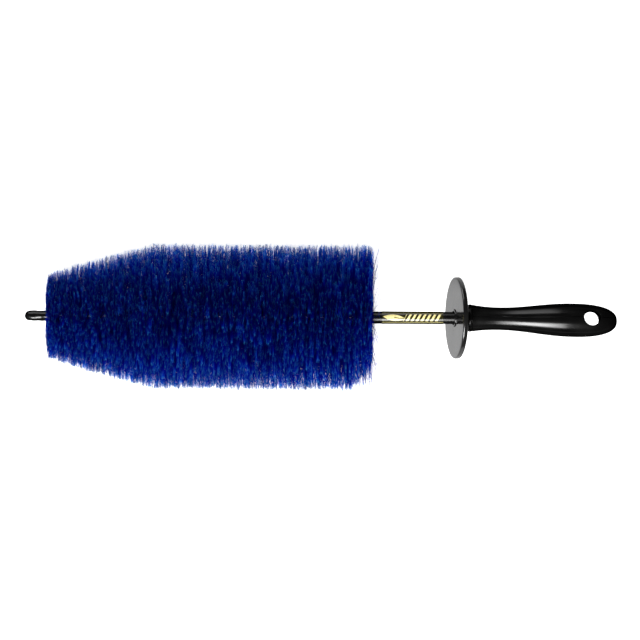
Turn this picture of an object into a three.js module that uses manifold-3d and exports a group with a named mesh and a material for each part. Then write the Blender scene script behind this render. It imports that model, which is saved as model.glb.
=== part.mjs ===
// Wheel brush. A twisted pair of coated wires carries a round pack of bristles with a tapered nose and
// ends in a hollow handle made of two shells. Between them a smooth sleeve covers the wires, with a
// printed label round it and a round splash guard that slides along it and turns in its own grommet.
// Millimetres, +Z up. The stem runs along X, tip at -X, handle at +X, and the brush lies on its bristles.
import * as THREE from 'three';
import { mergeVertices } from 'three/addons/utils/BufferGeometryUtils.js';
import Module from 'manifold-3d';

const wasm = await Module();
wasm.setup();

// ---- Driving dimensions ----

// Clearances that every fit is made from.
const fit = {
  rest: 0.3, // between two pieces that seat on each other or are joined
  pin: 0.25, // round a pin in its hole, on the radius
  film: 0.08, // between the label and the sleeve
  slide: 0.12, // between the guard's grommet and what it slides over
  groove: 0.15, // between the guard's disc and its grommet
};

// Two coated wires twisted together.
const wire = {
  strandRadius: 1.6,
  strandGap: 0.24, // between the two strands
  pitch: 22, // length of a whole turn
  startInset: 5, // the strands start this far behind the tip's end
};

const tip = {
  wall: 0.43,
  exposed: 17.7, // in front of the bristles' rim
  tucked: 5, // inside the bristles
};

const bristles = {
  length: 247,
  diameter: 105,
  noseDiameter: 58.6, // at the front rim
  noseLength: 82, // of the taper behind the rim
  noseBow: 1.2, // how far the taper bows out from a straight cone
  bulge: 2.4, // how far the front face stands out at the stem
  faceFullness: 0.6, // share of the front face that stays nearly flat
  rearEdge: 2, // chamfer at the rear rim
  restDepth: 1.2, // how far the bristles flatten where the brush lies on them
  sleeveRecess: 8, // depth of the sleeve's seat in the rear face
};

const sleeve = {
  wall: 0.98,
  exposed: 71.8, // from the bristles to the handle
  insideHandle: 14,
};

const label = {
  length: 46.4,
  thickness: 0.12,
  fromBristles: 6.8,
};

const guard = {
  diameter: 62,
  thickness: 3.8,
  rimRound: 1,
  lean: THREE.MathUtils.degToRad(11.2), // its top leans towards the handle
  fromHandle: 8.3, // from its middle to the handle's mouth
  grommetWall: 0.45,
  lipHeight: 0.6,
  lipWidth: 0.6,
};

const handle = {
  length: 113.5,
  mouthRadius: 10.7,
  waistRadius: 8.6,
  waistAt: 23.5, // distances from the mouth
  bellyRadius: 12.75,
  bellyAt: 79.5,
  endFullness: 2.5, // 2 is an ellipse, more is blunter
  droop: 1.75, // how far its far end hangs off the stem's line
  roll: THREE.MathUtils.degToRad(-7), // it is fixed on the stem turned a little
  wall: 2.6,
  partingGap: 0.3,
};

const collar = {
  length: 3.2,
  round: 1.6,
  spigotWall: 1.9,
  spigotLength: 5,
};

const hangHole = {
  radius: 6.2,
  fromEnd: 19.4,
  rimWidth: 3, // solid material left round it
};

const anchor = {
  ferruleWall: 1.1,
  ferruleLength: 20,
  ferruleEnd: 6.5, // thickness of its closed end
  ferruleFrom: 44, // from the handle's mouth to the ferrule
  pinRadius: 1.5,
  pinLength: 16,
  blockBefore: 12, // solid handle in front of the ferrule's rear end,
  blockAfter: 3.5, // and behind it
};

// Pegs on the lower shell that line up the upper one: two beside the anchor and two by the far end.
const peg = {
  radius: 1.2,
  length: 3,
  wall: 1.6, // solid handle between a peg and the ferrule's pocket
  fromBlock: 3.2, // behind the anchor block's front face
  fromEnd: 7, // in front of the handle's far end
  spread: 7, // between the two by the far end
};

const SIDES = 48; // of every turned piece but the bristles
const BRISTLE_SIDES = 60;
const STRAND_SIDES = 8;
const STEPS_PER_TURN = 10; // along a strand
const FACE_STEPS = 5; // along the curve of the bristles' front face
const NOSE_STEPS = 8; // along the curves of the two noses
const ROUND_STEPS = 4; // round an edge
const COLLAR_STEPS = 6; // round the collar's front edge
const HANDLE_STEP = 4; // mm, along the handle
const HANDLE_END_STEPS = 14; // over its round end
const CUT_PAST = 1; // how far a cut runs past the face that it opens

// ---- Places along the stem, measured from the tip's end ----

const bristleStart = tip.exposed;
const bristleEnd = bristleStart + bristles.length;
const mouth = bristleEnd + sleeve.exposed;
const totalLength = mouth + handle.length;
const guardAt = mouth - guard.fromHandle;
// From the stem's axis to the middle of a strand, and to its outside.
const twistRadius = wire.strandRadius + wire.strandGap / 2;
const wireRadius = twistRadius + wire.strandRadius;
const wireSlope = Math.atan(2 * Math.PI * twistRadius / wire.pitch);
// A strand's end is square to the strand, so one edge of it reaches past its middle.
const wireEndReach = wire.strandRadius * Math.sin(wireSlope);
const wireBore = wireRadius + fit.rest; // of what slides over the wires
const gripBore = wireRadius + fit.rest / 2; // of what grips them
const tipRadius = gripBore + tip.wall;
const sleeveRadius = wireBore + sleeve.wall;
const sleeveBore = sleeveRadius + fit.rest;
const ferruleRadius = gripBore + anchor.ferruleWall;
const spigotRadius = sleeveBore + collar.spigotWall;
const ferruleStart = mouth + anchor.ferruleFrom;
const ferruleEnd = ferruleStart + anchor.ferruleLength;
const wireEnd = ferruleEnd - anchor.ferruleEnd - wireEndReach - fit.rest;
const blockStart = ferruleEnd - anchor.blockBefore;
const pinAt = ferruleEnd - anchor.ferruleEnd / 2;
const shellStart = mouth + collar.length + fit.rest;
const hangHoleAt = totalLength - hangHole.fromEnd;

// ---- Helpers ----

const at = (radius, station) => new THREE.Vector2(radius, station);

// Turns a profile of (radius, station) points round the stem's axis, which lies along +X.
function turned(profile, sides = SIDES) {
  const geometry = new THREE.LatheGeometry(profile, sides);
  return geometry.rotateZ(-Math.PI / 2);
}

// A ring's profile that closes on itself.
function ring(profile) {
  return turned([...profile, profile[0]]);
}

// A round bar from one station to another, for bores and pockets.
function bar(radius, from, to) {
  return turned([at(0, from), at(radius, from), at(radius, to), at(0, to)]);
}

// A round bar across the stem, along Z.
function crossBar(radius, length, station) {
  const geometry = new THREE.CylinderGeometry(radius, radius, length, SIDES / 2);
  return geometry.rotateX(Math.PI / 2).translate(station, 0, 0);
}

function box(lengthX, lengthY, lengthZ, x, y, z) {
  return new THREE.BoxGeometry(lengthX, lengthY, lengthZ).translate(x, y, z);
}

// A closed geometry as a solid that can be joined and cut.
function solid(geometry) {
  const bare = new THREE.BufferGeometry();
  bare.setAttribute('position', geometry.getAttribute('position').clone());
  if (geometry.index) bare.setIndex(geometry.index.clone());
  const merged = mergeVertices(bare, 1e-3);
  const triVerts = [];
  const index = merged.index.array;
  for (let i = 0; i < index.length; i += 3) {
    const [a, b, c] = index.slice(i, i + 3);
    if (a !== b && b !== c && c !== a) triVerts.push(a, b, c);
  }
  return new wasm.Manifold(new wasm.Mesh({
    numProp: 3,
    vertProperties: new Float32Array(merged.attributes.position.array),
    triVerts: new Uint32Array(triVerts),
  }));
}

function cutAll(body, cutters) {
  return cutters.reduce((rest, cutter) => rest.subtract(solid(cutter)), body);
}

function joinAll(body, additions) {
  return additions.reduce((whole, addition) => whole.add(solid(addition)), body);
}

function geometryOf(body) {
  const { vertProperties, triVerts } = body.getMesh();
  const geometry = new THREE.BufferGeometry();
  geometry.setAttribute('position', new THREE.BufferAttribute(vertProperties, 3));
  geometry.setIndex(new THREE.BufferAttribute(triVerts, 1));
  geometry.computeVertexNormals();
  return geometry;
}

function piece(name, geometry, color, roughness, metalness = 0) {
  const material = new THREE.MeshStandardMaterial({ color, roughness, metalness });
  const mesh = new THREE.Mesh(geometry, material);
  mesh.name = name;
  return mesh;
}

// ---- The stem ----

// One strand's middle line, a helix round the stem.
class Strand extends THREE.Curve {
  constructor(phase) {
    super();
    this.phase = phase;
  }

  getPoint(t, target = new THREE.Vector3()) {
    const station = THREE.MathUtils.lerp(wire.startInset, wireEnd, t);
    const angle = this.phase + 2 * Math.PI * station / wire.pitch;
    const across = twistRadius * Math.cos(angle);
    const up = twistRadius * Math.sin(angle);
    return target.set(station, across, up);
  }
}

function strand(phase) {
  const section = new THREE.Shape();
  section.absarc(0, 0, wire.strandRadius, 0, 2 * Math.PI);
  const turns = (wireEnd - wire.startInset) / wire.pitch;
  return new THREE.ExtrudeGeometry(section, {
    curveSegments: STRAND_SIDES / 2, // an arc takes twice this many
    steps: Math.round(turns * STEPS_PER_TURN),
    extrudePath: new Strand(phase),
  });
}

// A thimble with a round nose over the ends of the wires.
function tipCap() {
  const floor = wire.startInset - wireEndReach - fit.rest;
  const rear = tip.exposed + tip.tucked;
  const nose = [];
  for (let i = 0; i <= NOSE_STEPS; i += 1) {
    const angle = Math.PI / 2 * i / NOSE_STEPS;
    nose.push(at(tipRadius * Math.sin(angle), tipRadius * (1 - Math.cos(angle))));
  }
  return turned([...nose, at(tipRadius, rear), at(gripBore, rear), at(gripBore, floor), at(0, floor)]);
}

// ---- The bristles: the closed outer shape of the whole pack ----

function bristlePack() {
  const radius = bristles.diameter / 2;
  const rim = bristles.noseDiameter / 2;
  const tipBore = tipRadius + fit.rest;
  const tipBoreEnd = tip.exposed + tip.tucked + fit.rest;
  const sleeveBoreStart = bristleEnd - bristles.sleeveRecess - fit.rest;
  const shoulder = bristleStart + bristles.noseLength;
  const face = new THREE.QuadraticBezierCurve(
    at(tipBore, bristleStart - bristles.bulge),
    at(rim * bristles.faceFullness, bristleStart - bristles.bulge),
    at(rim, bristleStart),
  );
  const nose = new THREE.QuadraticBezierCurve(
    at(rim, bristleStart),
    at((rim + radius) / 2 + 2 * bristles.noseBow, (bristleStart + shoulder) / 2),
    at(radius, shoulder),
  );
  const profile = [
    ...face.getPoints(FACE_STEPS).slice(0, -1),
    ...nose.getPoints(NOSE_STEPS),
    at(radius, bristleEnd - bristles.rearEdge),
    at(radius - bristles.rearEdge, bristleEnd),
    at(sleeveBore, bristleEnd),
    at(sleeveBore, sleeveBoreStart),
    at(wireBore, sleeveBoreStart),
    at(wireBore, tipBoreEnd),
    at(tipBore, tipBoreEnd),
  ];
  const whole = solid(turned([...profile, profile[0]], BRISTLE_SIDES));
  const floorLevel = -(radius - bristles.restDepth);
  const below = box(2 * totalLength, 4 * radius, 2 * radius, 0, 0, floorLevel - radius);
  return geometryOf(cutAll(whole, [below]));
}

// ---- The sleeve and its label ----

function shaftSleeve() {
  const front = bristleEnd - bristles.sleeveRecess;
  const rear = mouth + sleeve.insideHandle;
  return ring([at(wireBore, front), at(sleeveRadius, front), at(sleeveRadius, rear), at(wireBore, rear)]);
}

const labelInner = sleeveRadius + fit.film;
const labelOuter = labelInner + label.thickness;

function shaftLabel() {
  const front = bristleEnd + label.fromBristles;
  const rear = front + label.length;
  return ring([at(labelInner, front), at(labelOuter, front), at(labelOuter, rear), at(labelInner, rear)]);
}

// ---- The splash guard, built round its own axis with its middle at station 0 ----

const grooveWidth = guard.thickness + 2 * fit.groove;
const grommetWidth = grooveWidth + 2 * guard.lipWidth;
// The bore that a leaning grommet needs to pass over the label.
const grommetBore = (labelOuter + fit.slide + grommetWidth / 2 * Math.sin(guard.lean)) / Math.cos(guard.lean);
const grommetCore = grommetBore + guard.grommetWall;
const discBore = grommetCore + fit.groove;
const lipRadius = discBore + guard.lipHeight;

function guardGrommet() {
  return ring([
    at(grommetBore, -grommetWidth / 2),
    at(lipRadius, -grommetWidth / 2),
    at(lipRadius, -grooveWidth / 2),
    at(grommetCore, -grooveWidth / 2),
    at(grommetCore, grooveWidth / 2),
    at(lipRadius, grooveWidth / 2),
    at(lipRadius, grommetWidth / 2),
    at(grommetBore, grommetWidth / 2),
  ]);
}

function guardDisc() {
  const outer = guard.diameter / 2;
  const half = guard.thickness / 2;
  const outline = new THREE.Path();
  outline.moveTo(discBore, -half);
  outline.lineTo(outer - guard.rimRound, -half);
  outline.absarc(outer - guard.rimRound, guard.rimRound - half, guard.rimRound, -Math.PI / 2, 0);
  outline.absarc(outer - guard.rimRound, half - guard.rimRound, guard.rimRound, 0, Math.PI / 2);
  outline.lineTo(discBore, half);
  outline.closePath();
  return turned(outline.getPoints(ROUND_STEPS));
}

// ---- The handle ----

// The handle's radius at a distance from its mouth: a flare, a waist, a belly and a blunt round end.
function handleRadius(distance) {
  if (distance < handle.waistAt) {
    const left = 1 - distance / handle.waistAt;
    return handle.waistRadius + (handle.mouthRadius - handle.waistRadius) * left ** 2;
  }
  if (distance < handle.bellyAt) {
    const share = (distance - handle.waistAt) / (handle.bellyAt - handle.waistAt);
    const swell = (1 - Math.cos(Math.PI * share)) / 2;
    return handle.waistRadius + (handle.bellyRadius - handle.waistRadius) * swell;
  }
  const share = (distance - handle.bellyAt) / (handle.length - handle.bellyAt);
  const power = handle.endFullness;
  return handle.bellyRadius * Math.max(0, 1 - share ** power) ** (1 / power);
}

// Distances from the mouth between two limits, closer together over the round end.
function handleStops(from, to) {
  const stops = [from];
  const straightEnd = Math.min(to, handle.bellyAt);
  for (let distance = from + HANDLE_STEP; distance < straightEnd; distance += HANDLE_STEP) {
    stops.push(distance);
  }
  for (let i = 0; i <= HANDLE_END_STEPS; i += 1) {
    const reach = Math.sin(Math.PI / 2 * i / HANDLE_END_STEPS);
    const distance = handle.bellyAt + (handle.length - handle.bellyAt) * reach;
    if (distance > from && distance < to) stops.push(distance);
  }
  return [...stops, to];
}

// The handle's outer body, or a cavity that is smaller all round by an inset.
function handleBody(from, to, inset = 0) {
  const outline = handleStops(from, to).map(
    (distance) => at(Math.max(0, handleRadius(distance) - inset), mouth + distance),
  );
  const last = outline[outline.length - 1];
  const closing = last.x > 0 ? [at(0, last.y)] : [];
  const geometry = turned([at(0, mouth + from), ...outline, ...closing]);
  const position = geometry.getAttribute('position');
  for (let i = 0; i < position.count; i += 1) {
    const share = (position.getX(i) - mouth) / handle.length;
    position.setY(i, position.getY(i) - handle.droop * share);
  }
  return geometry;
}

// What is cut out of the handle: the fits of what it holds, the cavities between its webs and the hole.
function handleCuts() {
  const spigotEnd = mouth + collar.length + collar.spigotLength;
  const sleeveEnd = mouth + sleeve.insideHandle;
  const blockEnd = ferruleEnd + anchor.blockAfter;
  const frontCavityStart = sleeveEnd + fit.rest;
  const holeBossStart = hangHoleAt - hangHole.radius - hangHole.rimWidth;
  const pinRoom = anchor.pinRadius + fit.pin;
  return [
    bar(spigotRadius + fit.rest, shellStart - CUT_PAST, spigotEnd + fit.rest),
    bar(sleeveBore, shellStart - CUT_PAST, frontCavityStart),
    bar(ferruleRadius + fit.rest, ferruleStart - fit.rest, ferruleEnd + fit.rest),
    handleBody(frontCavityStart - mouth, blockStart - mouth, handle.wall),
    handleBody(blockEnd - mouth, holeBossStart - mouth, handle.wall),
    crossBar(pinRoom, anchor.pinLength + 2 * fit.rest, pinAt),
    crossBar(hangHole.radius, 4 * handle.bellyRadius, hangHoleAt),
  ];
}

// Where the pegs that line up the two shells stand, as [station, height].
function pegPlaces() {
  const byAnchor = blockStart + peg.fromBlock;
  const byEnd = totalLength - peg.fromEnd;
  const beside = ferruleRadius + fit.rest + peg.wall + peg.radius;
  return [[byAnchor, beside], [byAnchor, -beside], [byEnd, peg.spread / 2], [byEnd, -peg.spread / 2]];
}

function pegBar(radius, length, [station, height]) {
  const geometry = new THREE.CylinderGeometry(radius, radius, 2 * length, SIDES / 3);
  return geometry.translate(station, 0, height);
}

// Half of the handle: side 1 is the upper shell with sockets, side -1 the lower one with pegs.
function handleShell(side) {
  const whole = solid(handleBody(collar.length + fit.rest, handle.length));
  const size = 2 * totalLength;
  const otherHalf = box(size, size, size, 0, -side * (size / 2 - handle.partingGap / 2), 0);
  const half = cutAll(whole, [otherHalf, ...handleCuts()]);
  if (side > 0) {
    const sockets = pegPlaces().map((place) => pegBar(peg.radius + fit.pin, peg.length + fit.rest, place));
    return geometryOf(cutAll(half, sockets));
  }
  const pegs = pegPlaces().map((place) => pegBar(peg.radius, peg.length, place));
  return geometryOf(joinAll(half, pegs));
}

// The rounded ring at the handle's mouth, with a spigot inside both shells.
function handleCollar() {
  const rear = mouth + collar.length;
  const spigotRear = rear + collar.spigotLength;
  const lip = handleRadius(collar.round);
  const outline = new THREE.Path();
  outline.moveTo(sleeveBore, mouth);
  outline.lineTo(lip - collar.round, mouth);
  outline.absarc(lip - collar.round, mouth + collar.round, collar.round, -Math.PI / 2, 0);
  outline.lineTo(handleRadius(collar.length), rear);
  outline.lineTo(spigotRadius, rear);
  outline.lineTo(spigotRadius, spigotRear);
  outline.lineTo(sleeveBore, spigotRear);
  outline.closePath();
  return turned(outline.getPoints(COLLAR_STEPS));
}

// ---- The anchor inside the handle ----

// A crimped cup over the ends of the wires, drilled across its closed end.
function anchorFerrule() {
  const floor = ferruleEnd - anchor.ferruleEnd;
  const cup = turned([
    at(0, floor),
    at(gripBore, floor),
    at(gripBore, ferruleStart),
    at(ferruleRadius, ferruleStart),
    at(ferruleRadius, ferruleEnd),
    at(0, ferruleEnd),
  ]);
  const hole = crossBar(anchor.pinRadius + fit.pin, 4 * ferruleRadius, pinAt);
  return geometryOf(cutAll(solid(cup), [hole]));
}

function anchorPin() {
  return crossBar(anchor.pinRadius, anchor.pinLength, pinAt);
}

// ---- The brush ----

const guardGroup = new THREE.Group();
guardGroup.position.set(guardAt, 0, 0);
guardGroup.rotation.y = guard.lean;
guardGroup.add(
  piece('guard_grommet', guardGrommet(), 0x101010, 0.45),
  piece('guard_disc', guardDisc(), 0x121212, 0.2),
);

const handleGroup = new THREE.Group();
handleGroup.rotation.x = handle.roll;
handleGroup.add(
  piece('handle_collar', handleCollar(), 0x0b0b0b, 0.2),
  piece('handle_upper_shell', handleShell(1), 0x0b0b0b, 0.2),
  piece('handle_lower_shell', handleShell(-1), 0x0b0b0b, 0.2),
  piece('anchor_ferrule', anchorFerrule(), 0x9a9ca0, 0.35, 1),
  piece('anchor_pin', anchorPin(), 0x9a9ca0, 0.35, 1),
);

const stemGroup = new THREE.Group();
stemGroup.add(
  piece('tip_cap', tipCap(), 0x0c0c0c, 0.25),
  piece('wire_strand_1', strand(0), 0x141414, 0.35),
  piece('wire_strand_2', strand(Math.PI), 0x141414, 0.35),
  piece('bristle_pack', bristlePack(), 0x0b2a6e, 0.6),
  piece('shaft_sleeve', shaftSleeve(), 0x101010, 0.3),
  piece('shaft_label', shaftLabel(), 0x6e6428, 0.35),
);

const wheelBrush = new THREE.Group();
wheelBrush.add(stemGroup, guardGroup, handleGroup);
wheelBrush.position.set(-totalLength / 2, 0, bristles.diameter / 2 - bristles.restDepth);

const part = new THREE.Group();
part.add(wheelBrush);

export default part;
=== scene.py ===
import math

import bpy
import numpy as np
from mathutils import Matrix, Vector
from mathutils.kdtree import KDTree


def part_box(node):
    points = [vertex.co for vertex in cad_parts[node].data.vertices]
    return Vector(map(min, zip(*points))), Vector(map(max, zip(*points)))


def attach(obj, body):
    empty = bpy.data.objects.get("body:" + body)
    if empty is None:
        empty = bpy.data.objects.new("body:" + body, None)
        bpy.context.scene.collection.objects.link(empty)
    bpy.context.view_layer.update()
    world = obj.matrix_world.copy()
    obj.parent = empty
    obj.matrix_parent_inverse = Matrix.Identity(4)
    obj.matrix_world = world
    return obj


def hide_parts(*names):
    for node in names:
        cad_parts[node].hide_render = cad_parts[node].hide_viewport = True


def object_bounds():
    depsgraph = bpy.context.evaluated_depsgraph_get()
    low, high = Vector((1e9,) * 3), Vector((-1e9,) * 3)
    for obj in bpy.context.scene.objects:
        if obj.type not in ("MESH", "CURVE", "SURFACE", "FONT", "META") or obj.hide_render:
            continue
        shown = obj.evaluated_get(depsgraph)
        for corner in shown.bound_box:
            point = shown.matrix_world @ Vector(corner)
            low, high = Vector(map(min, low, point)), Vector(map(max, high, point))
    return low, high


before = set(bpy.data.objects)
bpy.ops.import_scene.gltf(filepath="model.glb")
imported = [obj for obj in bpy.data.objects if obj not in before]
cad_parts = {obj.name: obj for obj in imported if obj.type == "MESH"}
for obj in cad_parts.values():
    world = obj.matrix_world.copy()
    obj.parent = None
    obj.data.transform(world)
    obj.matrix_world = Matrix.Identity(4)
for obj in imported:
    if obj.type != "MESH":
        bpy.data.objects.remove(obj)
cad_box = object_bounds()

# ------------------------------------------------------------------ tip cap
# The black cap on the stem's front end. It is soft vinyl, dipped over the ends of the two twisted wires,
# so it is round-nosed and a little lumpy. It sits over the wires and runs back into the bristles.

tip_low, tip_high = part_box("tip_cap")
stem_height = (tip_low[2] + tip_high[2]) / 2
tip_radius = (tip_high[1] - tip_low[1]) / 2


def turn_ring(name, sides, stops):
    """Walks a ring of edges along the stem through stops of (place along X, radius)."""
    bpy.ops.object.select_all(action="DESELECT")
    place, radius = stops[0]
    bpy.ops.mesh.primitive_circle_add(
        vertices=sides, radius=radius, fill_type="NOTHING",
        location=(place, 0, stem_height), rotation=(0, math.radians(90), 0))
    piece = bpy.context.object
    piece.name = name
    bpy.ops.object.transform_apply(location=True, rotation=True, scale=True)
    bpy.ops.object.mode_set(mode="EDIT")
    bpy.ops.mesh.select_all(action="SELECT")
    for next_place, next_radius in stops[1:]:
        bpy.ops.mesh.extrude_region_move(TRANSFORM_OT_translate={"value": (next_place - place, 0, 0)})
        growth = next_radius / radius
        bpy.ops.transform.resize(value=(1, growth, growth), center_override=(next_place, 0, stem_height))
        place, radius = next_place, next_radius
    return piece


def close_ends():
    """Fills the open rings at both ends of a ring that was walked, and turns its faces outwards."""
    bpy.ops.mesh.select_all(action="DESELECT")
    bpy.ops.mesh.select_non_manifold()
    bpy.ops.mesh.fill_holes(sides=0)
    bpy.ops.mesh.select_all(action="SELECT")
    bpy.ops.mesh.normals_make_consistent(inside=False)
    bpy.ops.object.mode_set(mode="OBJECT")


def join_ends():
    """Welds the last ring to the first, for a ring whose outline comes back to its start."""
    bpy.ops.mesh.select_all(action="SELECT")
    bpy.ops.mesh.remove_doubles(threshold=1e-6)
    bpy.ops.mesh.normals_make_consistent(inside=False)
    bpy.ops.object.mode_set(mode="OBJECT")


def pick(piece):
    """Selects one piece alone and makes it the active one."""
    bpy.ops.object.select_all(action="DESELECT")
    piece.select_set(True)
    bpy.context.view_layer.objects.active = piece


def soften(piece, degrees=35):
    """Shades a piece smooth, but for the edges that turn by more than the given angle."""
    pick(piece)
    bpy.ops.object.shade_smooth_by_angle(angle=math.radians(degrees))


def quarter_round(steps):
    """A quarter round of radius 1 from its flat start, as steps of (way along, way out)."""
    angles = [math.pi / 2 * step / steps for step in range(steps + 1)]
    return [(1 - math.cos(angle), math.sin(angle)) for angle in angles]


def new_group(name, inputs, outputs):
    """An empty shader node group with named sockets, each given as (name, kind, default)."""
    group = bpy.data.node_groups.new(name, "ShaderNodeTree")
    for label, kind, default in inputs:
        socket = group.interface.new_socket(name=label, in_out="INPUT", socket_type=kind)
        if default is not None:
            socket.default_value = default
    for label, kind, _ in outputs:
        group.interface.new_socket(name=label, in_out="OUTPUT", socket_type=kind)
    entry = group.nodes.new("NodeGroupInput")
    leave = group.nodes.new("NodeGroupOutput")
    return group, entry, leave


# Moulded plastic: a faint cloudiness in the colour, a roughness that drifts, and fine scuffs as a height.
moulded, entry, leave = new_group(
    "moulded_plastic",
    [("Dark", "NodeSocketColor", (0.004, 0.004, 0.004, 1)),
     ("Light", "NodeSocketColor", (0.01, 0.01, 0.01, 1)),
     ("Gloss", "NodeSocketFloat", 0.14),
     ("Wear", "NodeSocketFloat", 0.1),
     ("Scale", "NodeSocketFloat", 60.0)],
    [("Color", "NodeSocketColor", None),
     ("Roughness", "NodeSocketFloat", None),
     ("Height", "NodeSocketFloat", None)])
coords = moulded.nodes.new("ShaderNodeTexCoord")
clouds = moulded.nodes.new("ShaderNodeTexNoise")
clouds.inputs["Detail"].default_value = 4
scuffs = moulded.nodes.new("ShaderNodeTexNoise")
scuffs.inputs["Detail"].default_value = 6
scuffs.inputs["Roughness"].default_value = 0.65
scuffs.inputs["Scale"].default_value = 1
stretch = moulded.nodes.new("ShaderNodeMapping")
stretch.inputs["Scale"].default_value = (60, 900, 900)
blend = moulded.nodes.new("ShaderNodeMix")
blend.data_type = "RGBA"
spread = moulded.nodes.new("ShaderNodeMapRange")
spread.inputs["From Min"].default_value = 0.3
spread.inputs["From Max"].default_value = 0.75
rough = moulded.nodes.new("ShaderNodeMath")
rough.operation = "MULTIPLY_ADD"
link = moulded.links.new
link(coords.outputs["Object"], clouds.inputs["Vector"])
link(entry.outputs["Scale"], clouds.inputs["Scale"])
link(coords.outputs["Object"], stretch.inputs["Vector"])
link(stretch.outputs["Vector"], scuffs.inputs["Vector"])
link(clouds.outputs["Fac"], spread.inputs["Value"])
link(spread.outputs["Result"], blend.inputs["Factor"])
link(entry.outputs["Dark"], blend.inputs["A"])
link(entry.outputs["Light"], blend.inputs["B"])
link(spread.outputs["Result"], rough.inputs[0])
link(entry.outputs["Wear"], rough.inputs[1])
link(entry.outputs["Gloss"], rough.inputs[2])
link(blend.outputs["Result"], leave.inputs["Color"])
link(rough.outputs["Value"], leave.inputs["Roughness"])
link(scuffs.outputs["Fac"], leave.inputs["Height"])


scuff_depth = 0.0001


def darken_edges(tree, mirror):
    """Makes a material mirror by the given level on faces seen square on, and not at all edge-on."""
    turned = tree.nodes.new("ShaderNodeLayerWeight")
    fade = tree.nodes.new("ShaderNodeMapRange")
    fade.inputs["From Min"].default_value = 0.12
    fade.inputs["From Max"].default_value = 0.38
    fade.inputs["To Min"].default_value = mirror
    fade.inputs["To Max"].default_value = 0
    tree.links.new(turned.outputs["Facing"], fade.inputs["Value"])
    tree.links.new(fade.outputs["Result"], tree.nodes["Principled BSDF"].inputs["Specular IOR Level"])


def plastic(name, dark, light, gloss, wear, scale, bump, mirror=0.2, dark_edges=True):
    """A moulded plastic material from the group above, with its own colours and gloss.

    It mirrors by the given level, which fades towards its edges unless dark_edges is off.
    """
    material = bpy.data.materials.new(name)
    material.use_nodes = True
    tree = material.node_tree
    shader = tree.nodes["Principled BSDF"]
    look = tree.nodes.new("ShaderNodeGroup")
    look.node_tree = moulded
    look.inputs["Dark"].default_value = (*dark, 1)
    look.inputs["Light"].default_value = (*light, 1)
    look.inputs["Gloss"].default_value = gloss
    look.inputs["Wear"].default_value = wear
    look.inputs["Scale"].default_value = scale
    relief = tree.nodes.new("ShaderNodeBump")
    relief.inputs["Strength"].default_value = bump
    relief.inputs["Distance"].default_value = scuff_depth
    tree.links.new(look.outputs["Color"], shader.inputs["Base Color"])
    tree.links.new(look.outputs["Roughness"], shader.inputs["Roughness"])
    tree.links.new(look.outputs["Height"], relief.inputs["Height"])
    tree.links.new(relief.outputs["Normal"], shader.inputs["Normal"])
    if dark_edges:
        darken_edges(tree, mirror)
    else:
        shader.inputs["Specular IOR Level"].default_value = mirror
    return material


def finish_piece(piece, material, node, body="brush"):
    """Gives a finished piece its material and puts it in the place of its CAD node."""
    piece.data.materials.clear()
    piece.data.materials.append(material)
    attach(piece, body)
    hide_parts(node)


nose_steps = 12
tube_steps = 28
nose_stops = [(tip_low[0] + tip_radius * along, tip_radius * out)
              for along, out in quarter_round(nose_steps)[1:]]
tube_start = nose_stops[-1][0]
tube_stops = [(tube_start + (tip_high[0] - tube_start) * step / tube_steps, tip_radius)
              for step in range(1, tube_steps + 1)]
tip_cap = turn_ring("vinyl_tip_cap", 48, nose_stops + tube_stops)
close_ends()
lumps = bpy.data.textures.new("tip_lumps", "CLOUDS")
lumps.noise_scale = 0.0042
lumps.noise_depth = 0
swell = tip_cap.modifiers.new("lumps", "DISPLACE")
swell.texture = lumps
swell.texture_coords = "LOCAL"
swell.strength = 0.0006
swell.mid_level = 0.5
bpy.ops.object.modifier_apply(modifier="lumps")
soften(tip_cap, 60)
vinyl_black = plastic(
    "dipped_black_vinyl", dark=(0.001, 0.001, 0.001), light=(0.003, 0.003, 0.003),
    gloss=0.16, wear=0.12, scale=260, bump=0.25)
finish_piece(tip_cap, vinyl_black, "tip_cap")

# ------------------------------------------------------------------ wires
# Two steel wires with a black plastic coat, twisted together a whole turn every 22 mm. The bristles are
# caught between them. Each is one strand, turned along the stem and cut to length.

twist_pitch = 0.022
strand_radius = 0.0016
twist_radius = 0.00172
strand_turns = 18
cut_back = 0.0005
wire_low, wire_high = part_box("wire_strand_1")
lean = math.atan(2 * math.pi * twist_radius / twist_pitch)
coated_wire = plastic(
    "coated_wire", dark=(0.001, 0.001, 0.002), light=(0.004, 0.004, 0.006),
    gloss=0.22, wear=0.2, scale=300, bump=0.2, mirror=0.5)

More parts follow.
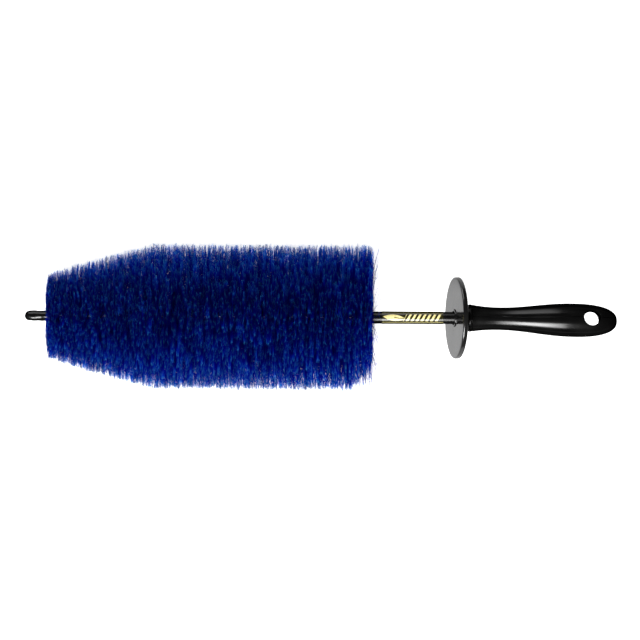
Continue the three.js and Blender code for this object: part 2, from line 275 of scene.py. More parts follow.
for number, phase in ((1, 0.0), (2, math.pi)):
    bpy.ops.object.select_all(action="DESELECT")
    bpy.ops.mesh.primitive_circle_add(vertices=14, radius=strand_radius, fill_type="NOTHING")
    strand = bpy.context.object
    strand.name = f"twisted_wire_{number}"
    bpy.ops.object.mode_set(mode="EDIT")
    bpy.ops.mesh.select_all(action="SELECT")
    # Widened the way the strand leans, so that it is round across its own run.
    bpy.ops.transform.resize(value=(1, 1 / math.cos(lean), 1))
    bpy.ops.object.mode_set(mode="OBJECT")
    # The circle lies flat, one strand's offset from the middle, and climbs as it turns about Z.
    turn = strand.modifiers.new("twist", "SCREW")
    turn.axis = "Z"
    turn.steps = turn.render_steps = 20
    turn.screw_offset = twist_pitch
    turn.iterations = strand_turns
    turn.use_merge_vertices = False
    strand.location = (twist_radius, 0, 0)
    bpy.ops.object.transform_apply(location=True, rotation=False, scale=False)
    bpy.ops.object.modifier_apply(modifier="twist")
    # Laid down along the stem: the climb along Z becomes the way along X.
    first_angle = phase + 2 * math.pi * (wire_low[0] - cad_box[0][0]) / twist_pitch
    strand.rotation_euler = (0, 0, first_angle)
    bpy.ops.object.transform_apply(location=False, rotation=True, scale=False)
    strand.rotation_euler = (0, math.radians(90), 0)
    strand.location = (wire_low[0], 0, stem_height)
    bpy.ops.object.transform_apply(location=True, rotation=True, scale=True)
    bpy.ops.object.mode_set(mode="EDIT")
    bpy.ops.mesh.select_all(action="SELECT")
    bpy.ops.mesh.bisect(plane_co=(wire_high[0] - cut_back, 0, 0), plane_no=(1, 0, 0), clear_outer=True)
    close_ends()
    soften(strand, 60)
    finish_piece(strand, coated_wire, f"wire_strand_{number}")

# ------------------------------------------------------------------ bristles
# Soft plastic filaments, thousands of them, folded over between the two wires so that each sticks out from
# the stem, in a double spiral that follows the twist. They are trimmed to a straight barrel with a tapered
# nose, and their tips gather in small tufts. One is modelled, and every other is a bent copy of it.

bristle_low, bristle_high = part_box("bristle_pack")
barrel_radius = (bristle_high[1] - bristle_low[1]) / 2
nose_radius = 0.0293
rim_place = bristle_low[0] + 0.0024
rear_place = bristle_high[0]
nose_length = 0.082
nose_bow = 0.0012
root_reach = 0.0034
filaments = 60000
bands = 8
filament_radius = 0.00011
root_fan = 0.46
tip_fan = 0.54
tip_scatter = 0.0032
tufts = 6500
tuft_unevenness = 0.0012
longest_over = 0.003
usual_short = 0.0022
side_short = 0.001
ragged_length = 0.017
ragged_depth = 0.42
stray_share = 0.06
stray_reach = 0.006
filament_bow = 0.0009
dice = np.random.default_rng(11)

bpy.ops.object.select_all(action="DESELECT")
bpy.ops.mesh.primitive_cone_add(vertices=3, radius1=1.0, radius2=0.6, depth=1.0, location=(0, 0, 0.5))
filament = bpy.context.object
bpy.ops.object.transform_apply(location=True, rotation=True, scale=True)
bpy.ops.object.mode_set(mode="EDIT")
for height in (0.38, 0.74):
    bpy.ops.mesh.select_all(action="SELECT")
    bpy.ops.mesh.bisect(plane_co=(0, 0, height), plane_no=(0, 0, 1))
bpy.ops.object.mode_set(mode="OBJECT")
pattern = np.array([v.co[:] for v in filament.data.vertices])
pattern_faces = [tuple(p.vertices) for p in filament.data.polygons]
bpy.data.objects.remove(filament)


def trimmed_radius(place):
    """The barrel's radius at a place along the stem: the nose widens in a slight bow, then it stays."""
    share = np.clip((place - rim_place) / nose_length, 0, 1)
    taper = nose_radius + (barrel_radius - nose_radius) * share
    return taper + 4 * nose_bow * share * (1 - share)


# Where every filament leaves the wires: anywhere along them, on either side of the twist.
root_place = dice.uniform(rim_place - 0.0015, rear_place - 0.0004, filaments)
side_of_twist = dice.integers(0, 2, filaments) * math.pi
root_angle = 2 * math.pi * (root_place - cad_box[0][0]) / twist_pitch + math.pi / 2 + side_of_twist
root_angle = root_angle + dice.normal(0, root_fan, filaments)

# Where its tip would stand by itself.
tip_angle = root_angle + dice.normal(0, tip_fan, filaments)
tip_place = root_place + dice.normal(0, tip_scatter, filaments)
tip_place = np.where(tip_place < rim_place, 2 * rim_place - tip_place, tip_place)
tip_place = np.where(tip_place > rear_place, 2 * rear_place - tip_place, tip_place)


def on_surface(place, angle):
    """Points of the trimmed outer surface, from their places along the stem and angles round it."""
    radius = trimmed_radius(place)
    return np.stack([place, radius * np.cos(angle), radius * np.sin(angle)], -1)


# The tuft that draws it in: the nearest of many scattered over the trimmed surface.
tuft_place = dice.uniform(rim_place, rear_place, tufts)
tuft_angle = dice.uniform(0, 2 * math.pi, tufts)
tuft_height = dice.uniform(-tuft_unevenness, tuft_unevenness, tufts)
tuft_shade = dice.beta(2.2, 2.4, tufts)
tuft_pull = dice.uniform(0.1, 0.7, tufts)
tuft_finder = KDTree(tufts)
for number, point in enumerate(on_surface(tuft_place, tuft_angle)):
    tuft_finder.insert(point, number)
tuft_finder.balance()
tuft = np.array([tuft_finder.find(point)[1] for point in on_surface(tip_place, tip_angle)])
angle_to_tuft = (tuft_angle[tuft] - tip_angle + math.pi) % (2 * math.pi) - math.pi
tip_angle = tip_angle + tuft_pull[tuft] * angle_to_tuft
tip_place = tip_place + tuft_pull[tuft] * (tuft_place[tuft] - tip_place)
tip_place = np.clip(tip_place, rim_place - 0.0004, rear_place - 0.0001)
tip_reach = trimmed_radius(tip_place) + tuft_height[tuft]

# Their lengths vary, more on one side of the brush than on the other.
tip_reach = tip_reach + longest_over - dice.exponential(usual_short + side_short * np.cos(tip_angle))

# The rear rim is ragged on one side, where the last rows splay out and stand short of the rest.
behind = np.clip((tip_place - (rear_place - ragged_length)) / ragged_length, 0, 1)
facing = np.clip(-np.cos(tip_angle) * 1.6 - 0.35, 0, 1)
tip_reach = tip_reach * (1 - behind * facing * dice.uniform(0.0, ragged_depth, filaments))

# A few strays splay back behind the rear rim.
stray = (root_place > rear_place - 0.008) & (dice.random(filaments) < stray_share)
tip_place = np.where(stray, rear_place + dice.uniform(0, stray_reach, filaments), tip_place)

shade = np.clip(tuft_shade[tuft] + dice.normal(0, 0.14, filaments), 0, 1)
bow_along = dice.normal(0, filament_bow, filaments)
bow_round = dice.normal(0, filament_bow, filaments)


def grow(chosen):
    """The vertices of the chosen filaments, one pattern each, and how far out every vertex is."""
    share = pattern[:, 2][None, :]
    reach = root_reach + (tip_reach[chosen, None] - root_reach) * share
    easing = share ** 1.25
    angle = root_angle[chosen, None] + (tip_angle - root_angle)[chosen, None] * easing
    arch = np.sin(math.pi * share) * (0.4 + 0.6 * share)
    along = root_place[chosen, None] + (tip_place - root_place)[chosen, None] * easing
    along = along + bow_along[chosen, None] * arch
    outward = np.stack([np.zeros_like(angle), np.cos(angle), np.sin(angle)], -1)
    sideways = np.stack([np.zeros_like(angle), -np.sin(angle), np.cos(angle)], -1)
    forward = np.array([1.0, 0, 0])
    middle = outward * reach[..., None] + sideways * (bow_round[chosen, None] * arch)[..., None]
    middle = middle + forward * along[..., None]
    spin = dice.uniform(0, 2 * math.pi, len(chosen))[:, None]
    x, y = pattern[:, 0][None, :], pattern[:, 1][None, :]
    thick = (filament_radius * dice.uniform(0.8, 1.2, len(chosen)))[:, None]
    first = (x * np.cos(spin) - y * np.sin(spin)) * thick
    second = (x * np.sin(spin) + y * np.cos(spin)) * thick
    points = middle + forward * first[..., None] + sideways * second[..., None]
    points[..., 2] += stem_height
    # The lowest tips rest on the surface that the brush lies on, and bend along it.
    floor_level = 0.0003 + 0.0009 * dice.random(len(chosen))[:, None]
    points[..., 2] = np.maximum(points[..., 2], floor_level)
    return points.reshape(-1, 3), np.broadcast_to(share, (len(chosen), share.shape[1]))


def bristle_mesh(name, points, reach, tone):
    """One mesh from the filaments' vertices, with a UV map that holds each one's tone and reach."""
    per = len(pattern)
    count = len(tone)
    sizes = [len(face) for face in pattern_faces]
    corners = np.concatenate([np.array(face) for face in pattern_faces])
    corner_side = np.concatenate([np.arange(size) for size in sizes])
    every = (corners[None, :] + per * np.arange(count)[:, None]).ravel()
    starts = np.concatenate([[0], np.cumsum(sizes)[:-1]])
    every_start = (starts[None, :] + len(corners) * np.arange(count)[:, None]).ravel()
    mesh = bpy.data.meshes.new(name)
    mesh.vertices.add(len(points))
    mesh.vertices.foreach_set("co", points.ravel())
    mesh.loops.add(len(every))
    mesh.loops.foreach_set("vertex_index", every)
    mesh.polygons.add(count * len(sizes))
    mesh.polygons.foreach_set("loop_start", every_start)
    mesh.update(calc_edges=True)
    across = (tone[:, None] * 0.96 + 0.01 * (corner_side[None, :] % 3)).ravel()
    outward = (reach[:, corners] * 0.97 + 0.015).ravel()
    layer = mesh.uv_layers.new(name="OFBake")
    layer.data.foreach_set("uv", np.stack([across, outward], -1).ravel())
    mesh.polygons.foreach_set("use_smooth", np.ones(len(mesh.polygons), bool))
    return mesh


def ramp(tree, stops):
    """A colour ramp node with the given (position, colour) stops."""
    node = tree.nodes.new("ShaderNodeValToRGB")
    elements = node.color_ramp.elements
    for (place, colour), element in zip((stops[0], stops[-1]), (elements[0], elements[1])):
        element.position = place
        element.color = (*colour, 1)
    for place, colour in stops[1:-1]:
        elements.new(place).color = (*colour, 1)
    return node


# The filament's plastic lets light through. Its colours are painted by reach along each filament: painted
# shade makes them deep blue towards the roots, where the pack is crowded, and a painted glow makes them
# lighter towards the tips.
bristle_look = bpy.data.materials.new("blue_filament")
bristle_look.use_nodes = True
tree = bristle_look.node_tree
shader = tree.nodes["Principled BSDF"]
through = tree.nodes.new("ShaderNodeBsdfTranslucent")
both = tree.nodes.new("ShaderNodeMixShader")
both.inputs["Fac"].default_value = 0.75
own_map = tree.nodes.new("ShaderNodeUVMap")
own_map.uv_map = "OFBake"
split = tree.nodes.new("ShaderNodeSeparateXYZ")
# Painted shade at the roots and painted light at the tips: the first ramp is the light thrown back, the
# second the light let through.
shaded_face_colour = ramp(tree, [(0.05, (0.0002, 0.0003, 0.004)),
                          (0.6, (0.0006, 0.0006, 0.02)),
                          (0.88, (0.0015, 0.001, 0.04)),
                          (1.0, (0.004, 0.006, 0.08))])
shaded_glow_colour = ramp(tree, [(0.05, (0.0003, 0.001, 0.03)),
                          (0.6, (0.0015, 0.008, 0.4)),
                          (0.86, (0.005, 0.028, 0.56)),
                          (0.95, (0.02, 0.16, 0.68)),
                          (1.0, (0.2, 0.7, 0.86))])
by_tone = ramp(tree, [(0.0, (0.45, 0.45, 0.5)), (1.0, (1.35, 1.3, 1.25))])
face_tint = tree.nodes.new("ShaderNodeMix")
glow_tint = tree.nodes.new("ShaderNodeMix")
tree.links.new(own_map.outputs["UV"], split.inputs["Vector"])
tree.links.new(split.outputs["X"], by_tone.inputs["Fac"])
for tint, colour, goal in ((face_tint, shaded_face_colour, shader.inputs["Base Color"]),
                           (glow_tint, shaded_glow_colour, through.inputs["Color"])):
    tint.data_type = "RGBA"
    tint.blend_type = "MULTIPLY"
    tint.inputs["Factor"].default_value = 1
    tree.links.new(split.outputs["Y"], colour.inputs["Fac"])
    tree.links.new(colour.outputs["Color"], tint.inputs["A"])
    tree.links.new(by_tone.outputs["Color"], tint.inputs["B"])
    tree.links.new(tint.outputs["Result"], goal)
sheen = tree.nodes.new("ShaderNodeMapRange")
sheen.inputs["To Min"].default_value = 0.6
sheen.inputs["To Max"].default_value = 0.4
tree.links.new(split.outputs["X"], sheen.inputs["Value"])
tree.links.new(sheen.outputs["Result"], shader.inputs["Roughness"])
shader.inputs["Specular IOR Level"].default_value = 0.02
tree.links.new(shader.outputs["BSDF"], both.inputs[1])
tree.links.new(through.outputs["BSDF"], both.inputs[2])
tree.links.new(both.outputs["Shader"], tree.nodes["Material Output"].inputs["Surface"])

in_order = np.argsort(root_place)
for band in range(bands):
    chosen = in_order[band * filaments // bands:(band + 1) * filaments // bands]
    points, reach = grow(chosen)
    name = f"bristles_band_{band + 1}"
    bristles = bpy.data.objects.new(name, bristle_mesh(name, points, reach, shade[chosen]))
    bpy.context.scene.collection.objects.link(bristles)
    finish_piece(bristles, bristle_look, "bristle_pack")

# ------------------------------------------------------------------ sleeve
# A smooth black plastic tube shrunk over the twisted wires. It runs from inside the bristles to inside the
# handle, and its ends are out of sight.

sleeve_low, sleeve_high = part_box("shaft_sleeve")
sleeve_radius = (sleeve_high[1] - sleeve_low[1]) / 2
sleeve_wall = 0.00098
sleeve_bore = sleeve_radius - sleeve_wall
sleeve_steps = 40
edge = 0.0002
sleeve_length = sleeve_high[0] - sleeve_low[0]
sleeve_stops = [(sleeve_low[0], sleeve_bore), (sleeve_low[0], sleeve_radius - edge)]
sleeve_stops += [(sleeve_low[0] + edge + (sleeve_length - 2 * edge) * step / sleeve_steps, sleeve_radius)
                 for step in range(sleeve_steps + 1)]
sleeve_stops += [(sleeve_high[0], sleeve_radius - edge), (sleeve_high[0], sleeve_bore),
                 (sleeve_low[0], sleeve_bore)]
sleeve = turn_ring("shrunk_sleeve", 64, sleeve_stops)
join_ends()
soften(sleeve, 50)
sleeve_black = plastic(
    "shrink_tube_black", dark=(0.001, 0.001, 0.001), light=(0.003, 0.003, 0.003),
    gloss=0.2, wear=0.12, scale=140, bump=0.12)
finish_piece(sleeve, sleeve_black, "shaft_sleeve")

# ------------------------------------------------------------------ label
# A thin printed film wrapped round the sleeve. The print is a plain gold pattern on a dark olive ground: a
# slit leaf and a row of identical slanted bars, between two hair lines.

label_low, label_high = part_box("shaft_label")
label_radius = (label_high[1] - label_low[1]) / 2
film_thickness = 0.00012
label_inner = label_radius - film_thickness
label_steps = 24
label_stops = [(label_low[0], label_inner), (label_low[0], label_radius)]
label_stops += [(label_low[0] + (label_high[0] - label_low[0]) * step / label_steps, label_radius)
                for step in range(1, label_steps + 1)]
label_stops += [(label_high[0], label_inner), (label_low[0], label_inner)]
label = turn_ring("printed_label", 64, label_stops)
join_ends()
soften(label, 50)
gold_print = bpy.data.materials.new("gold_print_film")
gold_print.use_nodes = True
tree = gold_print.node_tree
shader = tree.nodes["Principled BSDF"]
coords = tree.nodes.new("ShaderNodeTexCoord")
centre = tree.nodes.new("ShaderNodeMapping")
centre.inputs["Location"].default_value = (-label_low[0], 0, -stem_height)
split = tree.nodes.new("ShaderNodeSeparateXYZ")
around = tree.nodes.new("ShaderNodeMath")
around.operation = "ARCTAN2"
tree.links.new(coords.outputs["Object"], centre.inputs["Vector"])
tree.links.new(centre.outputs["Vector"], split.inputs["Vector"])
tree.links.new(split.outputs["Y"], around.inputs[0])
tree.links.new(split.outputs["Z"], around.inputs[1])


def sum_up(tree, operation, first, second, third=None):
    """A math node on sockets or plain numbers; gives its output socket."""
    node = tree.nodes.new("ShaderNodeMath")
    node.operation = operation
    for socket, value in zip(node.inputs, (first, second, third)):
        if isinstance(value, (int, float)):
            socket.default_value = value
        elif value is not None:
            tree.links.new(value, socket)
    return node.outputs["Value"]


along = split.outputs["X"]
off_middle = sum_up(tree, "ABSOLUTE", around.outputs["Value"], None)
row_half_angle = 0.56
hair_line_angle = 0.82
bar_lean = -0.0026
bar_spacing = 0.00185
half_gap = 0.00095
bar_start = 0.0172
bar_end = 0.0436
leaf_middle = 0.0092
leaf_half_length = 0.0085
in_row = sum_up(tree, "LESS_THAN", off_middle, row_half_angle)
# The slanted bars, all alike and evenly spaced.
leaned = sum_up(tree, "MULTIPLY_ADD", around.outputs["Value"], bar_lean, along)
off_gap = sum_up(tree, "PINGPONG", leaned, bar_spacing)
is_bar = sum_up(tree, "GREATER_THAN", off_gap, half_gap)
past_leaf = sum_up(tree, "GREATER_THAN", leaned, bar_start)
before_end = sum_up(tree, "LESS_THAN", leaned, bar_end)
bars = sum_up(tree, "MULTIPLY", is_bar, sum_up(tree, "MULTIPLY", past_leaf, before_end))
bars = sum_up(tree, "MULTIPLY", bars, in_row)
# The leaf in front of them: a long lens, slit from its tip.
leaf_place = sum_up(tree, "DIVIDE", sum_up(tree, "SUBTRACT", along, leaf_middle), leaf_half_length)
leaf_bow = sum_up(tree, "MULTIPLY", 0.5, sum_up(tree, "POWER", leaf_place, 2))
leaf_half = sum_up(tree, "SUBTRACT", 0.5, leaf_bow)
leaf_tilt = sum_up(tree, "MULTIPLY_ADD", leaf_place, 0.16, around.outputs["Value"])
leaf_off = sum_up(tree, "ABSOLUTE", leaf_tilt, None)
in_leaf = sum_up(tree, "LESS_THAN", leaf_off, leaf_half)
slit = sum_up(tree, "MULTIPLY", sum_up(tree, "LESS_THAN", leaf_off, 0.07),
              sum_up(tree, "GREATER_THAN", leaf_place, 0.0))
leaf = sum_up(tree, "MULTIPLY", in_leaf, sum_up(tree, "SUBTRACT", 1.0, slit))
# Two hair lines, one on each side of the row.
hair_line = sum_up(tree, "COMPARE", off_middle, hair_line_angle, 0.04)
faint_line = sum_up(tree, "MULTIPLY", hair_line, 0.5)
printed = sum_up(tree, "MAXIMUM", sum_up(tree, "MAXIMUM", bars, leaf), faint_line)
ink_noise = tree.nodes.new("ShaderNodeTexNoise")
ink_noise.inputs["Scale"].default_value = 900
ink = ramp(tree, [(0.25, (0.42, 0.36, 0.13)), (0.75, (0.7, 0.62, 0.3))])
print_mix = tree.nodes.new("ShaderNodeMix")
print_mix.data_type = "RGBA"
print_mix.inputs["A"].default_value = (0.012, 0.011, 0.002, 1)
tree.links.new(coords.outputs["Object"], ink_noise.inputs["Vector"])
tree.links.new(ink_noise.outputs["Fac"], ink.inputs["Fac"])
tree.links.new(ink.outputs["Color"], print_mix.inputs["B"])
tree.links.new(printed, print_mix.inputs["Factor"])
tree.links.new(print_mix.outputs["Result"], shader.inputs["Base Color"])
shader.inputs["Roughness"].default_value = 0.2
darken_edges(tree, 0.3)
finish_piece(label, gold_print, "shaft_label")

# ------------------------------------------------------------------ splash guard
# A flat, round disc of glossy black plastic with a rounded rim, held in the groove of a rubber grommet
# that slides along the sleeve. Both lean: the disc's top hangs towards the handle.

disc_low, disc_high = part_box("guard_disc")
guard_place = (disc_low[0] + disc_high[0]) / 2
disc_radius = (disc_high[1] - disc_low[1]) / 2
disc_thickness = 0.0038
guard_lean = math.radians(11.2)
grommet_low, grommet_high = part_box("guard_grommet")
lip_radius = (grommet_high[1] - grommet_low[1]) / 2
lip_height = 0.0006
disc_bore = lip_radius - lip_height
groove_slack = 0.00015
core_radius = disc_bore - groove_slack
grommet_bore = core_radius - 0.00045
lip_width = 0.0006


def both_sides(outline):
    """Stops from one side's outline and its mirror image about the guard's middle, closed to a ring."""
    mirrored = [(-place, radius) for place, radius in reversed(outline)]
    return [(guard_place + place, radius) for place, radius in outline + mirrored + outline[:1]]


def lean_guard(piece):
    """Leans a guard piece about the guard's middle, its top towards the handle."""
    pick(piece)
    bpy.context.scene.cursor.location = (guard_place, 0, stem_height)
    bpy.ops.object.origin_set(type="ORIGIN_CURSOR")
    piece.rotation_euler = (0, guard_lean, 0)
    bpy.ops.object.transform_apply(location=True, rotation=True, scale=True)


half = disc_thickness / 2
rim = 0.001
rim_steps = 8
disc_side = [(-half, disc_bore), (-half, disc_bore + rim)]
disc_side += [(-half, disc_radius * share) for share in (0.35, 0.55, 0.75, 0.9)]
disc_side += [(-half + rim * along, disc_radius - rim + rim * out) for along, out in quarter_round(rim_steps)]
disc = turn_ring("splash_disc", 128, both_sides(disc_side))
join_ends()
lean_guard(disc)
soften(disc, 40)
disc_black = plastic(
    "pressed_black_sheet", dark=(0.002, 0.002, 0.002), light=(0.005, 0.005, 0.005),
    gloss=0.13, wear=0.1, scale=45, bump=0.05, mirror=0.5, dark_edges=False)
finish_piece(disc, disc_black, "guard_disc", "guard")

grip = half + groove_slack
face = grip + lip_width
lip_round = 0.00026
lip_steps = 4
grommet_side = [(-face, grommet_bore)]
grommet_side += [(-face + lip_round * along, lip_radius - lip_round + lip_round * out)
                 for along, out in quarter_round(lip_steps)]
grommet_side += [(-grip, lip_radius), (-grip, core_radius)]
grommet = turn_ring("rubber_grommet", 64, both_sides(grommet_side))
join_ends()
lean_guard(grommet)
soften(grommet, 40)
finish_piece(grommet, disc_black, "guard_grommet", "guard_carrier")

# ------------------------------------------------------------------ handle
# A hollow handle of glossy black plastic, moulded as two shells that meet in a fine line along it. It has
# a waist for the fingers, a belly for the palm, and a hole right through for hanging.

collar_low, collar_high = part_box("handle_collar")
shell_low, shell_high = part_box("handle_lower_shell")
mouth = collar_low[0]
handle_length = shell_high[0] - mouth
mouth_radius = 0.0107
waist_radius = 0.0086
waist_at = 0.0235
belly_radius = 0.01275
belly_at = 0.0795
end_fullness = 2.5
droop = 0.00175
handle_roll = math.radians(-7)
hole_radius = 0.0062
hole_place = mouth + handle_length - 0.0194
shell_start = shell_low[0]
socket_radius = 0.0071
socket_depth = 0.006
parting_gap = 0.0003
parting_round = 0.0002
grip_step = 0.002
hole_step = 0.0007
end_steps = 16
end_pip = 0.0004
rim_reach = 0.0011
sliver = 0.00016


def handle_radius(distance):
    """The handle's radius at a distance from its mouth: a flare, a waist, a belly and a blunt end."""
    if distance < waist_at:
        return waist_radius + (mouth_radius - waist_radius) * (1 - distance / waist_at) ** 2
    if distance < belly_at:
        share = (distance - waist_at) / (belly_at - waist_at)
        return waist_radius + (belly_radius - waist_radius) * (1 - math.cos(math.pi * share)) / 2
    share = min(1.0, (distance - belly_at) / (handle_length - belly_at))
    return belly_radius * (1 - share ** end_fullness) ** (1 / end_fullness)


def settle_order(piece):
    """Lays a mesh down again in an order set by its places alone.

    Extruding leaves it in an order that changes from run to run, and the hole's rims would change with it.
    """
    mesh = piece.data
    places = [tuple(vertex.co) for vertex in mesh.vertices]
    order = sorted(range(len(places)), key=lambda number: places[number])
    new_number = {old: new for new, old in enumerate(order)}
    faces = []
    for polygon in mesh.polygons:
        face = [new_number[old] for old in polygon.vertices]
        first = face.index(min(face))
        faces.append(face[first:] + face[:first])
    mesh.clear_geometry()
    mesh.from_pydata([places[old] for old in order], [], sorted(faces))


# Wide steps along the grip, fine ones round the hole, and then ever finer ones towards the blunt end.
distances = [shell_start - mouth]
while distances[-1] < hole_place - mouth - 0.01:
    distances.append(distances[-1] + grip_step)
while distances[-1] < handle_length - 0.0045:
    distances.append(distances[-1] + hole_step)
last_share = (distances[-1] - belly_at) / (handle_length - belly_at)
last_angle = math.asin(last_share)
for step in range(1, end_steps):
    share = math.sin(last_angle + (math.pi / 2 - last_angle) * step / end_steps)
    distances.append(belly_at + (handle_length - belly_at) * share)
handle_stops = [(shell_start + socket_depth, socket_radius), (shell_start, socket_radius)]
handle_stops += [(mouth + distance, handle_radius(distance)) for distance in distances]
handle_stops += [(mouth + handle_length, end_pip)]
handle = turn_ring("handle_blank", 144, handle_stops)
close_ends()
for vertex in handle.data.vertices:
    if vertex.co.x > shell_start:
        vertex.co.y -= droop * (vertex.co.x - mouth) / handle_length
settle_order(handle)

bpy.ops.object.select_all(action="DESELECT")
bpy.ops.mesh.primitive_cylinder_add(vertices=96, radius=hole_radius, depth=0.06,
                                    location=(hole_place, 0, stem_height))
drill = bpy.context.object
bpy.ops.object.transform_apply(location=True, rotation=True, scale=True)
bpy.ops.object.mode_set(mode="EDIT")
# The drill is cut into fine rings where it passes the handle's surface, so that the rim has even faces.
for step in range(14):
    for side in (1, -1):
        bpy.ops.mesh.select_all(action="SELECT")
        cut = (0, 0, stem_height + side * (0.0065 + 0.0005 * step))
        bpy.ops.mesh.bisect(plane_co=cut, plane_no=(0, 0, 1))
bpy.ops.object.mode_set(mode="OBJECT")
bore = handle.modifiers.new("hang_hole", "BOOLEAN")
bore.object = drill
bore.operation = "DIFFERENCE"
bore.solver = "EXACT"
settle_order(drill)
bpy.context.view_layer.objects.active = handle
bpy.ops.object.modifier_apply(modifier="hang_hole")
bpy.data.objects.remove(drill)
settle_order(handle)


def outside(point):
    """How far a point of the handle lies outside the handle's plain turned surface."""
    sideways = point.y + droop * (point.x - mouth) / handle_length
    return math.hypot(sideways, point.z - stem_height) - handle_radius(point.x - mouth)


def near_rim(point, reach):
    """True for a point within reach of where the hole breaks through the handle's surface."""
    off_bore = math.hypot(point.x - hole_place, point.y) - hole_radius
    return math.hypot(off_bore, outside(point)) < reach


# The hole's two rims are rounded over: slivers are merged, then the rim is worked smooth.
pick(handle)
bpy.ops.object.mode_set(mode="EDIT")
bpy.ops.mesh.select_mode(type="VERT")
bpy.ops.mesh.select_all(action="DESELECT")
bpy.ops.object.mode_set(mode="OBJECT")
for vertex in handle.data.vertices:
    vertex.select = near_rim(vertex.co, rim_reach)
bpy.ops.object.mode_set(mode="EDIT")
bpy.ops.mesh.remove_doubles(threshold=sliver)
bpy.ops.mesh.vertices_smooth(factor=0.5, repeat=6)
bpy.ops.mesh.select_all(action="SELECT")
bpy.ops.mesh.normals_make_consistent(inside=False)
bpy.ops.object.mode_set(mode="OBJECT")


def on_parting_line(point, seam):
    """True for a point on the outer edge of the parting line, clear of the hole and of the mouth."""
    clear_of_hole = abs(point.x - hole_place) > 0.0085
    clear_of_mouth = point.x > shell_start + 0.0005
    return abs(point.y - seam) < 1e-5 and clear_of_hole and clear_of_mouth and outside(point) > -0.0003


def pick_seam(piece, seam):
    """Selects the sharp edges along a shell's parting line, and stays in edit mode."""
    pick(piece)
    bpy.ops.object.mode_set(mode="EDIT")
    bpy.ops.mesh.select_mode(type="EDGE")
    bpy.ops.mesh.select_all(action="DESELECT")
    bpy.ops.mesh.edges_select_sharp(sharpness=math.radians(35))
    bpy.ops.object.mode_set(mode="OBJECT")
    for line in piece.data.edges:
        ends = [piece.data.vertices[i].co for i in line.vertices]
        line.select = line.select and all(on_parting_line(end, seam) for end in ends)
    bpy.ops.object.mode_set(mode="EDIT")


def in_hole(point):
    """True for a point on the hole's wall, below its rounded rim."""
    on_wall = math.hypot(point.x - hole_place, point.y) < hole_radius + 0.0001
    return on_wall and outside(point) < -0.0008


gloss_black = plastic(
    "glossy_black_moulding", dark=(0.001, 0.001, 0.001), light=(0.0025, 0.0025, 0.0025),
    gloss=0.15, wear=0.08, scale=70, bump=0.06)
matt_black = plastic(
    "matt_black_bore", dark=(0.001, 0.001, 0.001), light=(0.003, 0.003, 0.003),
    gloss=0.6, wear=0.1, scale=300, bump=0.4)
for side, node in ((1, "handle_upper_shell"), (-1, "handle_lower_shell")):
    shell = handle.copy()
    shell.data = handle.data.copy()
    shell.name = node + "_skin"
    bpy.context.scene.collection.objects.link(shell)
    pick(shell)
    seam = side * parting_gap / 2
    bpy.ops.object.mode_set(mode="EDIT")
    bpy.ops.mesh.select_all(action="SELECT")
    bpy.ops.mesh.bisect(plane_co=(0, seam, 0), plane_no=(0, side, 0), use_fill=True, clear_inner=True)
    bpy.ops.object.mode_set(mode="OBJECT")
    # The edge along the parting line is a little rounded, so the line shows.
    pick_seam(shell, seam)
    bpy.ops.mesh.bevel(offset=parting_round, segments=2, affect="EDGES")
    bpy.ops.object.mode_set(mode="OBJECT")
    finish_piece(shell, gloss_black, node)
    shell.data.materials.append(matt_black)
    for face in shell.data.polygons:
        face.material_index = 1 if in_hole(face.center) else 0
    bpy.context.scene.cursor.location = (0, 0, stem_height)
    pick(shell)
    bpy.ops.object.origin_set(type="ORIGIN_CURSOR")
    shell.rotation_euler = (handle_roll, 0, 0)
    bpy.ops.object.transform_apply(location=True, rotation=True, scale=True)
    soften(shell, 35)
bpy.data.objects.remove(handle)

# ------------------------------------------------------------------ handle collar
# The rounded ring at the handle's mouth. Its spigot plugs into both shells and holds their front ends.

collar_round = 0.0016
collar_steps = 12
collar_length = 0.0032
spigot_radius = 0.0068
collar_slack = 0.0003
collar_bore = sleeve_radius + collar_slack
collar_edge = handle_radius(collar_round)
collar_stops = [(mouth, collar_bore)]
collar_stops += [(mouth + collar_round * along, collar_edge - collar_round + collar_round * out)
                 for along, out in quarter_round(collar_steps)]
collar_stops += [(mouth + collar_length, handle_radius(collar_length)),
                 (mouth + collar_length, spigot_radius),
                 (collar_high[0], spigot_radius),
                 (collar_high[0], collar_bore),
                 (mouth, collar_bore)]
collar = turn_ring("mouth_ring", 96, collar_stops)
join_ends()
soften(collar, 35)
finish_piece(collar, gloss_black, "handle_collar")

# ------------------------------------------------------------------ anchor
# The steel ferrule crimped on the wires' ends and the pin across it. Both are inside the handle and out of
# sight, so they stay as they come and only take a material.

steel = bpy.data.materials.new("plain_steel")
steel.use_nodes = True
tree = steel.node_tree
shader = tree.nodes["Principled BSDF"]
shader.inputs["Metallic"].default_value = 1
coords = tree.nodes.new("ShaderNodeTexCoord")
grain_map = tree.nodes.new("ShaderNodeMapping")
grain_map.inputs["Scale"].default_value = (200, 3000, 3000)
grain = tree.nodes.new("ShaderNodeTexNoise")
grain.inputs["Scale"].default_value = 1
steel_tone = ramp(tree, [(0.0, (0.3, 0.3, 0.31)), (1.0, (0.62, 0.62, 0.64))])
steel_rough = tree.nodes.new("ShaderNodeMapRange")
steel_rough.inputs["To Min"].default_value = 0.25
steel_rough.inputs["To Max"].default_value = 0.45
tree.links.new(coords.outputs["Object"], grain_map.inputs["Vector"])
tree.links.new(grain_map.outputs["Vector"], grain.inputs["Vector"])
tree.links.new(grain.outputs["Fac"], steel_tone.inputs["Fac"])
tree.links.new(grain.outputs["Fac"], steel_rough.inputs["Value"])
tree.links.new(steel_tone.outputs["Color"], shader.inputs["Base Color"])
tree.links.new(steel_rough.outputs["Result"], shader.inputs["Roughness"])
for node in ("anchor_ferrule", "anchor_pin"):
    for material_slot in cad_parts[node].material_slots:
        material_slot.material = steel

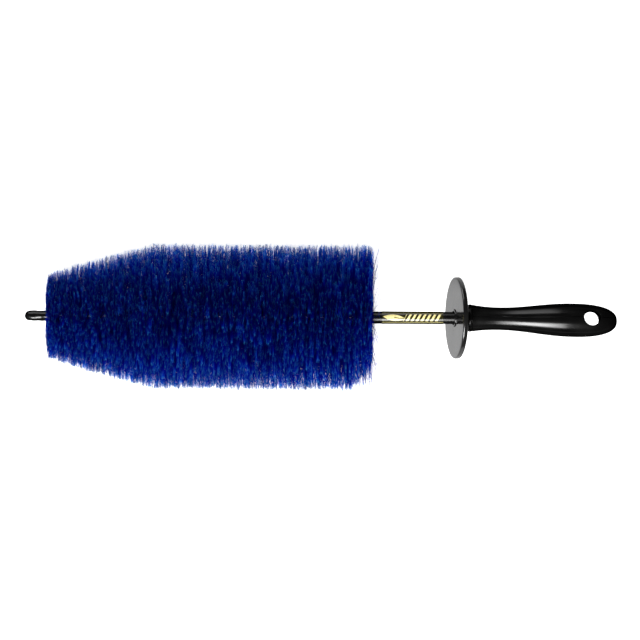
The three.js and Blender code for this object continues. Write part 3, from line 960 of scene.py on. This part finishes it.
# ------------------------------------------------------------------ studio
# A pale floor in a bright room. A wide softbox hangs beside the brush for the streak along it, and a white
# card stands on the other side. The floor glows white where it is looked at directly, and brighter still
# behind the filaments, but it gives the black plastics no more light than a grey floor would.

seen_glow = 0.9
glow_through = 3.0
room_light = 0.07
bpy.ops.object.select_all(action="DESELECT")
bpy.ops.mesh.primitive_plane_add(size=6, location=(0, 0, 0))
floor = bpy.context.object
floor.name = "studio_floor"
pale = bpy.data.materials.new("pale_floor")
pale.use_nodes = True
tree = pale.node_tree
shader = tree.nodes["Principled BSDF"]
shader.inputs["Base Color"].default_value = (0.45, 0.45, 0.45, 1)
shader.inputs["Roughness"].default_value = 1
shader.inputs["Specular IOR Level"].default_value = 0
shader.inputs["Emission Color"].default_value = (1, 1, 1, 1)
seen = tree.nodes.new("ShaderNodeLightPath")
seen_through = sum_up(tree, "MULTIPLY", seen.outputs["Is Transmission Ray"], glow_through)
tree.links.new(sum_up(tree, "MULTIPLY_ADD", seen.outputs["Is Camera Ray"], seen_glow, seen_through),
               shader.inputs["Emission Strength"])
floor.data.materials.append(pale)


def soft_lamp(name, place, target, width, depth, watts):
    """A rectangular lamp at a place, turned to face its target."""
    lamp = bpy.data.lights.new(name, "AREA")
    lamp.shape = "RECTANGLE"
    lamp.size = width
    lamp.size_y = depth
    lamp.energy = watts
    stand = bpy.data.objects.new(name, lamp)
    stand.location = place
    stand.rotation_euler = (Vector(target) - Vector(place)).to_track_quat("-Z", "Y").to_euler()
    bpy.context.scene.collection.objects.link(stand)


soft_lamp("softbox", (-0.15, -0.87, 1.02), (-0.15, 0, 0.05), width=0.64, depth=0.74, watts=35)
soft_lamp("softbox_core", (-0.15, -0.83, 0.976), (-0.15, 0, 0.05), width=0.36, depth=0.44, watts=18)
soft_lamp("white_card", (-0.27, 1.0, 0.48), (-0.27, 0, 0.48), width=0.8, depth=0.8, watts=11)

room = bpy.data.worlds.new("studio_room")
room.use_nodes = True
tree = room.node_tree
seen = tree.nodes.new("ShaderNodeLightPath")
tree.nodes["Background"].inputs["Color"].default_value = (1, 1, 1, 1)
tree.links.new(sum_up(tree, "MULTIPLY_ADD", seen.outputs["Is Camera Ray"], seen_glow, room_light),
               tree.nodes["Background"].inputs["Strength"])
bpy.context.scene.world = room

# ------------------------------------------------------------------ camera
# Straight above the brush, far off with a long lens, turned by a fraction of a degree.

camera_height = 2.45
field_width = 0.4864
sensor_width = 36
camera_data = bpy.data.cameras.new("camera")
camera_data.sensor_width = sensor_width
camera_data.lens = sensor_width * (camera_height - stem_height) / field_width
camera = bpy.data.objects.new("camera", camera_data)
camera.location = (-0.0006, -0.0021, camera_height)
camera.rotation_euler = (0, 0, math.radians(0.32))
bpy.context.scene.collection.objects.link(camera)
bpy.context.scene.camera = camera
bpy.context.scene.view_settings.view_transform = "Standard"
